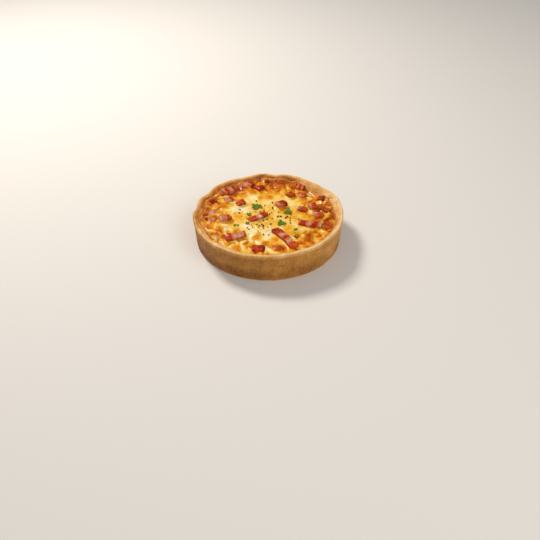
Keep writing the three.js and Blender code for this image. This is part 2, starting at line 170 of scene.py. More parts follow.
def noise_at(points, size, seed):
    """Smooth noise from -1 to 1 with lumps of about that size, at points of one to three columns."""
    lattice = np.random.default_rng(seed).random((LATTICE, LATTICE, LATTICE)) * 2 - 1
    place = np.zeros((len(points), 3))
    place[:, : points.shape[1]] = points
    place = place / size + LATTICE_SHIFT
    low = np.floor(place).astype(int)
    part = place - low
    part = part * part * (3 - 2 * part)
    total = np.zeros(len(points))
    for step in np.ndindex(2, 2, 2):
        corner = lattice[tuple(((low + step) % LATTICE).T)]
        weight = np.where(step, part, 1 - part)
        total += corner * (weight[:, 0] * weight[:, 1]) * weight[:, 2]
    return total


def smoothstep(value, low, high):
    """0 up to the low value, 1 from the high one on, and a smooth rise between."""
    share = np.clip((value - low) / (high - low), 0, 1)
    return share * share * (3 - 2 * share)


def fading(distance, reach):
    """1 in the middle, fading as a bell does with distance."""
    return np.exp(-((distance / reach) ** 2))


def spot_share(x, y, at_x, at_y, size, power=2):
    """1 in the middle of a round spot, fading past its radius. A higher power gives it a flatter top."""
    return np.exp(-((np.hypot(x - at_x, y - at_y) / size) ** power))


def spots_at(x, y, spots, power=2):
    """The sum of round spots, each a place, a radius and an amount."""
    return sum(amount * spot_share(x, y, at_x, at_y, size, power) for at_x, at_y, size, amount in spots)


def turned_to(x, y, at_x, at_y, turn):
    """Distances along and across a line through a place, turned by so many radians."""
    cos, sin = math.cos(turn), math.sin(turn)
    return cos * (x - at_x) + sin * (y - at_y), cos * (y - at_y) - sin * (x - at_x)


def ring_quads(first, second):
    """Quads between two closed rings, each a list of its points' numbers."""
    after = [*range(1, len(first)), 0]
    return [(first[i], first[j], second[j], second[i]) for i, j in enumerate(after)]


def mesh_piece(name, points, faces, material, attributes=None):
    """An object from points in millimetres, smooth shaded, with a number or a vector kept at each point."""
    mesh = bpy.data.meshes.new(name)
    mesh.from_pydata((np.asarray(points) * MM).tolist(), [], faces)
    mesh.polygons.foreach_set("use_smooth", [True] * len(mesh.polygons))
    for label, values in (attributes or {}).items():
        values = np.asarray(values, dtype=np.float32)
        kind, key = ("FLOAT", "value") if values.ndim == 1 else ("FLOAT_VECTOR", "vector")
        mesh.attributes.new(label, kind, "POINT").data.foreach_set(key, values.ravel())
    mesh.materials.append(material)
    mesh.update()
    made = bpy.data.objects.new(name, mesh)
    bpy.context.scene.collection.objects.link(made)
    return made


def point_normals(points, faces):
    """Unit normals at the points of a mesh, from its faces' corners."""
    normals = np.zeros_like(points)
    for count in (3, 4):
        ring = np.array([face for face in faces if len(face) == count], dtype=int)
        if len(ring) == 0:
            continue
        across = points[ring[:, 2]] - points[ring[:, 0]]
        along = points[ring[:, -1]] - points[ring[:, 1]]
        face_normals = np.cross(across, along)
        for corner in range(count):
            np.add.at(normals, ring[:, corner], face_normals)
    return normals / np.maximum(np.linalg.norm(normals, axis=1, keepdims=True), 1e-9)


# Tools for finishes

def linear(code):
    """An sRGB hex colour as the linear colour that shaders take."""
    parts = [int(code[i : i + 2], 16) / 255 for i in (1, 3, 5)]
    return [p / 12.92 if p <= 0.04045 else ((p + 0.055) / 1.055) ** 2.4 for p in parts] + [1]


def feed(tree, node, inputs):
    """Puts values on a node's inputs, and links nodes (by their first output) and sockets to them."""
    for name, value in inputs.items():
        if isinstance(value, bpy.types.Node):
            value = value.outputs[0]
        if isinstance(value, bpy.types.NodeSocket):
            tree.links.new(value, node.inputs[name])
        else:
            node.inputs[name].default_value = value


def add(tree, kind, settings=None, inputs=None):
    """A node with its settings and with values or links on its inputs. stops fills a colour ramp."""
    node = tree.nodes.new(kind)
    for name, value in (settings or {}).items():
        if name == "stops":
            ramp = node.color_ramp
            while len(ramp.elements) < len(value):
                ramp.elements.new(0.5)
            for element, (place, code) in zip(ramp.elements, value):
                element.position = place
                element.color = linear(code)
        else:
            setattr(node, name, value)
    feed(tree, node, inputs or {})
    return node


def new_material(name, values):
    """A material with one principled shader, its fixed values set on the shader's own sockets."""
    material = bpy.data.materials.new(name)
    material.use_nodes = True
    tree = material.node_tree
    shader = tree.nodes["Principled BSDF"]
    feed(tree, shader, values)
    return material, tree, shader


def lumps(size):
    """The scale at which noise has lumps of about that many millimetres."""
    return 1 / (size * MM)


def tone_from(tree, tone, shares, centre):
    """A number on the mesh plus each noise times its share, less what centres the sum."""
    for noise, share in shares:
        tone = add(tree, "ShaderNodeMath", {"operation": "MULTIPLY_ADD"}, {0: noise, 1: share, 2: tone})
    return add(tree, "ShaderNodeMath", {"operation": "SUBTRACT"}, {0: tone, 1: centre})


def finish_surface(tree, shader, colour, relief, rough=None, film=None):
    """Colour, relief and roughness on the shader, and the relief of the wet film on top.

    relief and film are a height, a strength and a depth in millimetres, and rough is a number and the
    roughness that it gives at its least and at its most.
    """
    inputs = {"Base Color": colour}
    for socket, bump in (("Normal", relief), ("Coat Normal", film)):
        if bump:
            height, strength, depth = bump
            wanted = {"Height": height, "Strength": strength, "Distance": depth * MM}
            inputs[socket] = add(tree, "ShaderNodeBump", None, wanted)
    if rough:
        source, low, high = rough
        wanted = {"Value": source, "To Min": low, "To Max": high}
        inputs["Roughness"] = add(tree, "ShaderNodeMapRange", None, wanted)
    feed(tree, shader, inputs)


# The pastry case

def degrees_past(angle, at):
    """How far plan angles in radians lie past one in degrees, from -180 to 180."""
    return (np.degrees(angle) - at + 180) % 360 - 180


def facing(angle, at, low, high):
    """Rises from 0 to 1 towards a plan angle in degrees, as the cosine goes from low to high."""
    return smoothstep(np.cos(angle - math.radians(at)), low, high)


def pinch_share(angle, at, spread):
    """A bump round the rim that fades away on both sides of a plan angle in degrees."""
    return np.exp(-0.5 * (degrees_past(angle, at) / spread) ** 2)


def lip_wave(angle):
    """How far the lip stands out and up at plan angles in radians."""
    out = LIP_LEAN[0] * np.cos(angle) + LIP_LEAN[1] * np.sin(angle)
    out = out + 0.12 * np.sin(5 * angle + 0.7) + 0.08 * np.sin(11 * angle + 2.1)
    up = 0.35 * np.sin(3 * angle - 2.1) + 0.12 * np.sin(8 * angle + 0.4)
    for at, spread, pinch_out, pinch_up in LIP_PINCHES:
        share = pinch_share(angle, at, spread)
        out = out + pinch_out * share
        up = up + pinch_up * share
    return out, up


def slumped_by(angle, radius, height):
    """How far the inside of the wall, and the custard against it, lies inwards where the wall slumped."""
    below_the_lip = 1 - smoothstep(height, CUSTARD_LEVEL + 1, CASE_HEIGHT - 1)
    on_the_inside = smoothstep(radius, 44, 53)
    on_the_inside = on_the_inside * (1 - smoothstep(radius, INNER_RIM_RADIUS + 0.1, BEAD_CENTRE_RADIUS))
    inwards = sum(far * pinch_share(angle, at, spread) for at, spread, far in SLUMPS)
    return np.where(height < BASE_THICKNESS - 0.5, 0, inwards * below_the_lip * on_the_inside)


def leaned(points):
    """The unevenness grows from nothing at the flat base to its full size at the lip."""
    points = points.copy()
    angle = np.arctan2(points[:, 1], points[:, 0])
    radius = np.hypot(points[:, 0], points[:, 1])
    share = smoothstep(points[:, 2], 0, CASE_HEIGHT)
    share = share * smoothstep(radius, INNER_BASE_RADIUS - 6, INNER_BASE_RADIUS)
    out, up = lip_wave(angle)
    radius = radius + out * share - slumped_by(angle, radius, points[:, 2])
    points[:, 0] = np.cos(angle) * radius
    points[:, 1] = np.sin(angle) * radius
    points[:, 2] += up * share
    return points


def arc_points(radius, height, size, start, end, steps):
    """Points on an arc round a centre, from a start angle to an end angle in degrees."""
    turns = np.radians(np.linspace(start, end, steps + 1))
    return [(radius + size * math.cos(t), height + size * math.sin(t)) for t in turns]


def line_points(start, end, steps):
    """Points from start to end, without the first."""
    start, end = np.array(start), np.array(end)
    return [tuple(start + (end - start) * i / steps) for i in range(1, steps + 1)]


def case_profile():
    """Radius and height from the middle of the underside, over the lip, to the middle of the floor.

    With them comes how far over the lip a point is: 0 at its outer foot, 1 on the crest, 2 at its inner
    edge and 3 where the custard meets it.
    """
    edge = BASE_EDGE_RADIUS
    foot = (BASE_RADIUS, edge + 1)
    head = (WALL_TOP_RADIUS, BEAD_CENTRE_HEIGHT - LIP_BEAD_RADIUS * 1.1)
    inner_edge = (INNER_RIM_RADIUS + 1.2, CASE_HEIGHT - LIP_FLAT_DROP)
    skin = (INNER_RIM_RADIUS, CUSTARD_LEVEL + 0.8)
    inner = (UNDER_CUSTARD_RADIUS, CUSTARD_LEVEL - 1)
    corner = (FLOOR_RADIUS, BASE_THICKNESS)
    outside = [(12, 0), (28, 0), (42, 0), (INNER_BASE_RADIUS - 6, 0), (INNER_BASE_RADIUS - 2, 0)]
    outside += arc_points(BASE_RADIUS - edge, edge, edge, -90, 0, 7)
    outside += line_points(outside[-1], foot, 2) + line_points(foot, head, 34)
    bead = arc_points(BEAD_CENTRE_RADIUS, BEAD_CENTRE_HEIGHT, LIP_BEAD_RADIUS, -40, 110, 24)
    outside += line_points(head, bead[0], 2)
    flat = line_points(bead[-1], inner_edge, 8)
    slope = line_points(inner_edge, skin, 12)
    below = line_points(skin, inner, 5) + line_points(inner, (CORNER_TOP_RADIUS, CORNER_TOP), 4)
    below += line_points((CORNER_TOP_RADIUS, CORNER_TOP), corner, 2)
    below += line_points(corner, (10, BASE_THICKNESS), 3)
    over = [0] * len(outside) + list(np.linspace(0, 1.2, len(bead))[1:])
    over += list(np.linspace(1.2, 2, len(flat) + 1)[1:]) + list(np.linspace(2, 3, len(slope) + 1)[1:])
    over += [3] * len(below)
    return outside + bead[1:] + flat + slope + below, over


def fold(angle, at, before, after):
    """A lapped fold in the lip: it swells up to the plan angle at, in degrees, and drops off sharply."""
    apart = degrees_past(angle, at)
    return np.exp(-((apart / np.where(apart < 0, before, after)) ** 2))


# Folds where the lip is lapped over: plan angle, reach before it and after it in degrees, and height
LIP_FOLDS = [
    (19, 9, 2.5, 0.45), (207, 8, 3, 0.6), (152, 4, 9, 0.35), (57, 5, 3, 0.25), (229, 7, 2, 0.4),
    (245, 5, 1.5, 0.35), (254, 4, 2, 0.3), (284, 7, 3, 0.2), (330, 3, 8, 0.25), (128, 6, 3, 0.2),
]
# Cracks across the lip: plan angle, depth and slant
LIP_CRACKS = [
    (17.5, 0.6, 3), (177.5, 0.3, 1.5), (211, 0.45, -3), (95, 0.4, -1.5), (231, 0.25, 2), (246.5, 0.3, -2),
    (255, 0.25, 2), (14, 0.3, -4), (60, 0.2, 3), (300, 0.15, 3),
]


def make_case(material):
    profile, over = case_profile()
    rows = len(profile)
    turns = np.linspace(0, 2 * math.pi, CASE_STEPS, endpoint=False)
    radius = np.repeat([p[0] for p in profile], CASE_STEPS)
    height = np.repeat([p[1] for p in profile], CASE_STEPS)
    angle = np.tile(turns, rows)
    points = np.stack([radius * np.cos(angle), radius * np.sin(angle), height], axis=1)
    rings = [range(row * CASE_STEPS, (row + 1) * CASE_STEPS) for row in range(rows)]
    faces = [quad for low, high in zip(rings, rings[1:]) for quad in ring_quads(low, high)]
    points = np.vstack([points, [[0, 0, 0], [0, 0, BASE_THICKNESS]]])
    under, floor = len(points) - 2, len(points) - 1
    last = (rows - 1) * CASE_STEPS
    for step in range(CASE_STEPS):
        after = (step + 1) % CASE_STEPS
        faces.append((under, after, step))
        faces.append((floor, last + step, last + after))
    radius = np.hypot(points[:, 0], points[:, 1])
    angle = np.arctan2(points[:, 1], points[:, 0])
    height = points[:, 2].copy()
    points = leaned(points)
    normals = point_normals(points, faces)

    over = np.concatenate([np.repeat(over, CASE_STEPS), [0, 3]])
    on_lip = smoothstep(height, BEAD_CENTRE_HEIGHT - 3.5, BEAD_CENTRE_HEIGHT - 0.5)
    on_lip = on_lip * smoothstep(radius, INNER_RIM_RADIUS - 2, INNER_RIM_RADIUS)
    degrees = np.degrees(angle) % 360
    right = facing(angle, 22, 0.6, 0.9)
    left = facing(angle, 178, 0.6, 0.95)
    front_left = facing(angle, 222, 0.86, 0.96)
    slumped = sum(far * pinch_share(angle, at, 1.6 * spread) for at, spread, far in SLUMPS)
    slope = right * np.clip(slumped / 2.6, 0, 1)

    # the lip: pressed by thumbs into soft facets, with a groove just inside its crest at the right, and at
    # the front left a broken ridge that rolls over behind a groove
    relief = on_lip * (0.22 * noise_at(points, 7, 11) + 0.13 * noise_at(points, 2.6, 12))
    relief -= on_lip * fading(over - 1.6 - 0.3 * noise_at(points, 9, 9), 0.35) * 0.25 * right
    broken = 0.6 + 0.8 * noise_at(points, 4, 7)
    ridge = fading(over - 2.0 - 0.3 * noise_at(points, 5, 10), 0.35)
    relief += on_lip * ridge * 0.5 * front_left * broken
    groove = fading(over - 1.25 - 0.3 * noise_at(points, 6, 8), 0.3)
    relief -= on_lip * groove * (0.35 * front_left + 0.12) * broken
    relief -= 0.16 * on_lip * fading(over - 1.5, 0.5) * (0.5 + 0.5 * noise_at(points, 12, 13))
    # lapped folds: the one at the right is cracked
    for at, before, after, size in LIP_FOLDS:
        relief += size * fold(angle, at, before, after) * on_lip
    for at, depth, lean in LIP_CRACKS:
        line = (degrees - at - lean * (over - 1)) * math.radians(1) * radius
        relief -= depth * fading(line, 0.6) * on_lip
    # the wall: pressed against its ring, with shallow hollows and a little drag up and down
    wall = smoothstep(height, 0.5, 4) * (1 - on_lip)
    wall = wall * smoothstep(radius, INNER_BASE_RADIUS, BASE_RADIUS - 1)
    stretched = points * [1, 1, 0.3]
    relief += wall * (0.12 * noise_at(points, 13, 14) + 0.06 * noise_at(stretched, 2.2, 15))
    relief += (wall + on_lip) * 0.05 * noise_at(points, 1.2, 16)
    # a thin wandering crease where the lip turns into the wall
    outside = smoothstep(radius, BASE_RADIUS - 1, BASE_RADIUS)
    crease = fading(height - (BEAD_CENTRE_HEIGHT - 2.3) + 0.6 * noise_at(points, 6, 19), 0.5) * outside
    crease *= 0.6 + 0.6 * noise_at(points, 8, 20)
    relief -= 0.25 * crease
    # the bottom edge is a little ragged where the pastry met the baking sheet
    foot = fading(height - 0.8, 1.6) * smoothstep(radius, BASE_RADIUS - 3, BASE_RADIUS)
    relief += foot * (0.22 * noise_at(points, 3.5, 17) - 0.1)
    inside = smoothstep(over, 2.05, 2.5)
    relief += inside * smoothstep(height, 17, 19) * 0.18 * noise_at(points, 3, 18)
    relief = np.where(height < 0.05, 0, relief)
    points = points + normals * relief[:, None]
    points[:, 2] = np.maximum(points[:, 2], 0)

    # how much the oven browned it, with painted light and shade in it: pale on the lip, partly a painted
    # highlight, darker in the hollows, a painted shade, and darker towards the foot
    browned = 0.4 + 0.1 * noise_at(points, 14, 21) + 0.08 * noise_at(points, 4, 22)
    # the lip lighter along its crest: partly the pastry's own colour, partly a painted highlight along the
    # lit crest
    pale_crest_and_highlight = 0.24 * fading(over - 0.9, 0.35) + 0.12 * fading(over - 1.5, 1.0)
    # painted shade: on the left, where the key light falls, the lip is made less pale and darker
    browned -= on_lip * pale_crest_and_highlight * (1 - 0.45 * left)
    browned += 0.08 * on_lip * left
    browned += on_lip * 0.05 * fading(over - 1.6, 0.3) * (1 - slope)
    # painted shade in the crease under the lip; the fine speckles are the pastry's own
    browned += 0.16 * crease + 0.1 * smoothstep(noise_at(points, 1.7, 23), 0.2, 0.5) * (wall + 0.5 * on_lip)
    # painted shade: the wall darker towards its foot
    browned += 0.2 * wall * (1 - smoothstep(height, 1, 13))
    # painted shade on the front left of the wall and lip, and painted light on the right front; the small
    # even amount over the whole wall is the pastry's own colour
    browned += 0.14 * facing(angle, 232, 0.1, 0.9) * (wall + 0.5 * on_lip) + 0.06 * wall
    browned -= 0.08 * facing(angle, -30, 0.2, 0.9)
    # inside, the oven and the cheese stained it, but not where it slumped into a slope
    back = smoothstep(np.sin(angle), -0.4, 0.6)
    browned += inside * (0.06 + 0.06 * back - 0.06 * slope + 0.16 * noise_at(points, 4, 24))
    at_the_back = 0.08 * back * smoothstep(over, 1.3, 1.9) * (1 - slope)
    browned += at_the_back * (0.6 + 0.5 * noise_at(points, 6, 25))
    front = smoothstep(-np.sin(angle), 0.3, 0.8)
    browned -= 0.08 * slope * smoothstep(over, 1.2, 1.8)
    browned -= 0.08 * front * on_lip * fading(over - 1.6, 0.4)
    browned += 0.06 * right * on_lip * (1 - slope)
    browned += 0.4 * fading(degrees - 95.5, 2.6) * on_lip * smoothstep(over, 1.0, 1.6)
    # painted shade along the inside where the wall meets the custard
    browned += 0.14 * smoothstep(over, 2.7, 3)
    # painted highlight on the lip's raised lumps, and painted shade in the hollows, cracks and grooves
    browned -= 0.2 * smoothstep(relief, 0.1, 0.6) * on_lip
    browned += 0.25 * smoothstep(-relief, 0.35, 1.0)
    browned += 0.18 * fading(height - 1.6, 0.8) * smoothstep(radius, BASE_RADIUS - 3, BASE_RADIUS)
    # oil and toasted cheese stain the inside orange, up to an uneven line at the lip's inner edge
    stain_from = 1.95 - 0.25 * back
    stained = smoothstep(over + 0.35 * noise_at(points, 5, 26) - stain_from, 0, 0.6) * (1 - 0.85 * slope)
    stained *= 0.85 + 0.4 * noise_at(points, 3, 27)
    made = mesh_piece("pastry_shell", points, faces, material, {"browned": browned, "stained": stained})
    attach(made, "root")
    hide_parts("pastry_case")


def pastry_material():
    # Shortcrust pastry, baked in a ring: matt, golden tan, with a sandy grain from its butter and flour,
    # drawn about twice as coarse as it is so that it shows, and browner where it is thin.
    material, tree, shader = new_material("baked_shortcrust_pastry", {
        "IOR": 1.45,
        "Subsurface Weight": 0.08, "Subsurface Scale": 1.2 * MM, "Subsurface Radius": (1.0, 0.6, 0.3),
    })
    place = add(tree, "ShaderNodeTexCoord").outputs["Object"]
    drawn = add(tree, "ShaderNodeMapping", None, {"Vector": place, "Scale": (1, 1, 0.22)})
    patches, streaks, grain, crumbs = [
        add(tree, "ShaderNodeTexNoise", None, {
            "Vector": vector, "Scale": lumps(size), "Detail": detail, "Roughness": roughness,
        })
        for size, detail, roughness, vector in (
            (5, 4, 0.55, place), (1.3, 3, 0.55, drawn), (1.1, 4, 0.7, place), (1.6, 5, 0.65, place),
        )
    ]
    # browned also carries the painted highlights and painted shade worked into the case
    browned, stained = [
        add(tree, "ShaderNodeAttribute", {"attribute_name": name}).outputs["Fac"]
        for name in ("browned", "stained")
    ]
    tone = tone_from(tree, browned, [(patches, 0.2), (streaks, 0.24), (grain, 0.5)], 0.45)
    stops = [(0.0, "#f7d59c"), (0.22, "#e8b46c"), (0.45, "#cb8c3a"), (0.72, "#9d631e"), (1.0, "#683a0e")]
    crust = add(tree, "ShaderNodeValToRGB", {"stops": stops}, {"Fac": tone})
    stops = [(0.3, "#e8a040"), (0.5, "#cf7a1c"), (0.7, "#9a4c0c")]
    oily = add(tree, "ShaderNodeValToRGB", {"stops": stops}, {"Fac": patches})
    colour = add(tree, "ShaderNodeMix", {"data_type": "RGBA"}, {0: stained, 6: crust, 7: oily}).outputs[2]
    rise = add(tree, "ShaderNodeMath", {"operation": "MULTIPLY_ADD"}, {0: crumbs, 1: 1.6, 2: grain})
    finish_surface(tree, shader, colour, (rise, 0.7, 0.35), (patches, 0.5, 0.75))
    return material


# The custard

def custard_height(x, y):
    """Height of the custard's skin: a low dome with swells and blisters, creeping up the pastry."""
    radius = np.hypot(x, y)
    share = radius / INNER_RIM_RADIUS
    height = CUSTARD_LEVEL + CUSTARD_DOME * (1 - share * share)
    height = height + 0.3 * np.sin(x / 6.1 + 0.6) * np.cos(y / 7.3 - 0.4)
    height = height + 0.22 * np.sin((x + y) / 4.4 + 1.9)
    height = height + 0.8 * np.exp((radius - INNER_RIM_RADIUS) / 1.8)
    return height + spots_at(x, y, BLISTERS)


def cut_shape(number, long):
    """How much a lardon narrows, leans and bows, as it was cut by hand."""
    return (
        0.1 * math.sin(number * 2.3),
        0.16 * math.sin(number * 1.7 + 1),
        0.035 * long * math.sin(number * 3.1 + 2),
    )


def lardon_distance(x, y):
    """Distance in plan to the nearest lardon's side, less than nothing inside one."""
    nearest = np.full(len(x), 99.0)
    for number, (at_x, at_y, long, wide, _, turn, _) in enumerate(LARDONS):
        taper, _, bow = cut_shape(number, long)
        along, across = turned_to(x, y, at_x, at_y, math.radians(turn))
        share = np.clip(along / (long / 2), -1.3, 1.3)
        across = across - bow * (share * share - 0.4)
        over_x = np.abs(along) - long / 2
        over_y = np.abs(across) - wide / 2 * (1 + taper * share)
        outside = np.hypot(np.maximum(over_x, 0), np.maximum(over_y, 0))
        nearest = np.minimum(nearest, outside + np.minimum(np.maximum(over_x, over_y), 0))
    return nearest


# Melted cheese: shreds that ran together. Each is a short bent ridge.
SHREDS = 200
SHRED_SEED = 77


def shred_relief(x, y):
    """Height of the melted shreds of cheese at each place."""
    draw = np.random.default_rng(SHRED_SEED)
    relief = np.zeros(len(x))
    for _ in range(SHREDS):
        reach = 54 * math.sqrt(0.1 + 0.9 * draw.random())
        spot = 2 * math.pi * draw.random()
        heading = draw.choice([math.pi / 2, 0.3]) + spot + draw.normal(0, 0.6)
        half_long = draw.uniform(1.5, 4.5)
        half_wide = draw.uniform(0.9, 2.0)
        bend = draw.normal(0, 0.07)
        rise = draw.uniform(0.35, 1.0)
        along, across = turned_to(x, y, reach * math.cos(spot), reach * math.sin(spot), heading)
        across = across - bend * along * along
        ends = np.maximum(np.abs(along) - half_long, 0)
        apart = np.hypot(across, ends) / half_wide
        ridge = rise * np.clip(1 - apart * apart, 0, 1) ** 0.8
        relief = np.maximum(relief, ridge) + 0.2 * np.minimum(relief, ridge)
    return relief


# Where the top is creamy, and where it is a deeper gold: place, radius, amount
CREAMY = [
    (-27, 7, 6, 0.9), (-19, 6, 4, 0.5), (-13, 23.5, 5, 0.8), (-20, -17, 6, 1.0), (-13, -22, 4, 0.9),
    (-13, -30, 3, 0.9), (-1, -27, 6, 1.0), (-1, -34, 3, 0.8), (-1, -46, 3, 0.7), (-34, -14, 4, 0.8),
    (-30, -20, 4, 0.7), (-36, -34, 4, 0.6), (-22, -38, 3.5, 0.7), (-10, -36, 3, 0.6), (25, -3, 3, 1.0),
    (19, 16, 5, 0.9), (37, -21, 3, 0.5), (43, -24, 3, 0.4), (33, 20, 3, 0.7), (36, -1, 2, 1.0),
    (43, -5, 2, 0.8), (8, -6, 6, 0.5), (16, -13, 5, 0.5), (-37, 20, 3, 0.7), (-28, 14, 3, 0.8),
    (2, 16, 6, 0.5), (38, 26, 3, 0.7), (-44, 12, 2, 0.8), (-46, -14, 3, 0.6), (25, -48, 3, 0.5),
    (41, 15, 3, 1.1), (48, 10, 2.4, 1.3), (34, 2, 2.6, 1.1), (50, 2, 2, 1.3), (24, 12, 3, 0.5),
    (-18, -46, 3, 0.6), (-28, -38, 4, 0.5), (47, 20, 2.5, 0.7), (52, -12, 2, 0.6), (30, 33, 2.5, 0.6),
    (-20, -41, 4, 0.6), (-13, -40, 3, 0.7), (-31, -36, 3, 0.5), (-8, -38, 2, 0.5), (44, 25, 2, 0.5),
    (25.5, -36, 2.5, 0.6), (37, -35, 2.5, 0.6), (31, -39.5, 2.5, 0.7),
]
GOLDEN = [
    (14, 4, 5, 0.5), (22, -5, 5, 0.4), (32, -3, 5, 0.9), (16, -20, 4, 0.4), (-23, -14, 3.5, 0.6),
    (-25, -22, 4, 0.6), (-17, -36, 3, 0.5), (-14, -43, 3, 0.5), (4, -35, 5, 0.6), (14, -48, 5, 0.7),
    (-28, 27, 5, 0.6), (-20, 27, 5, 0.7), (33, -25, 4, 0.5), (5, 11, 5, 0.3), (13, 9, 3, 0.5),
    (28, -38, 5, 0.4), (40, -29, 3, 0.5), (-3, 32, 6, 0.6), (24, 33, 4, 0.5), (-31, -41, 3, 0.3),
    (5, -12, 4, 0.3), (-40, 27, 3, 0.5), (36, -24, 4, 0.5), (44, -21, 4, 0.5), (22, -28, 4, 0.4),
    (40, -6, 3, 0.4),
]
# Crisp spots of deep orange, where a bubble browned: place, radius, amount
ORANGE = [
    (-34, 13, 2.8, 0.9), (-38.5, 5, 3, 0.8), (-6, 23, 2, 0.8), (0, 23, 2.6, 0.8), (-9, -30.5, 2.8, 0.9),
    (-3, -39, 2.6, 1.0), (-24, -44, 2.2, 0.8), (-48, -18, 3, 0.8), (-43.5, -18.5, 2.4, 0.7),
    (31, -31.5, 3.2, 1.4), (4.6, -46, 2.4, 0.9), (9.5, -45.5, 2.8, 1.35), (29, 15, 2.4, 0.7),
    (-24.5, 33, 3, 0.8), (3, 38, 3, 0.8), (-20, 1.5, 1, 0.7), (46, -28, 2, 0.5),
]
# Spots that the grill toasted brown: place, radius, amount
TOASTED = [
    (8.4, 38.6, 5, 0.5), (12.4, 44, 4, 0.9), (-21.6, 49, 4, 0.6), (-4.6, 51.6, 4, 0.6),
    (-53.4, 2.6, 2.6, 0.9), (46.4, -14.4, 4, 0.4), (45.4, 9.6, 5, 0.2), (12.4, 37.6, 1.8, 0.9),
    (22.4, 35.6, 1.6, 0.8), (3.4, 44.6, 3, 0.5), (-44.6, 24.6, 3, 0.3), (28.4, 17.6, 3, 0.45),
    (-38.6, 27, 2.4, 0.9), (52.4, -2.4, 3, 0.5), (-27, 37.5, 3, 0.9), (-51.6, 9.6, 3, 0.5),
    (-29.6, -46.4, 3, 0.3), (-17, 36, 3, 0.5), (50.5, 14, 2.4, 0.7), (23, 23, 2, 0.5),
]

TOAST_KNEE = 0.66  # browner than this, it darkens slowly


def disc_grid(steps):
    """A square grid pulled onto a disc of radius 1: its points and its quads, facing up."""
    side = np.linspace(-1, 1, steps + 1)
    a, b = [g.ravel() for g in np.meshgrid(side, side)]
    wide = np.abs(a) >= np.abs(b)
    size = np.where(wide, a, b)
    with np.errstate(divide="ignore", invalid="ignore"):
        turn = np.where(wide, b / a * math.pi / 4, math.pi / 2 - a / b * math.pi / 4)
    turn = np.nan_to_num(turn)
    quads = []
    for row in range(steps):
        for column in range(steps):
            at = row * (steps + 1) + column
            quads.append((at, at + 1, at + steps + 2, at + steps + 1))
    return size * np.cos(turn), size * np.sin(turn), quads


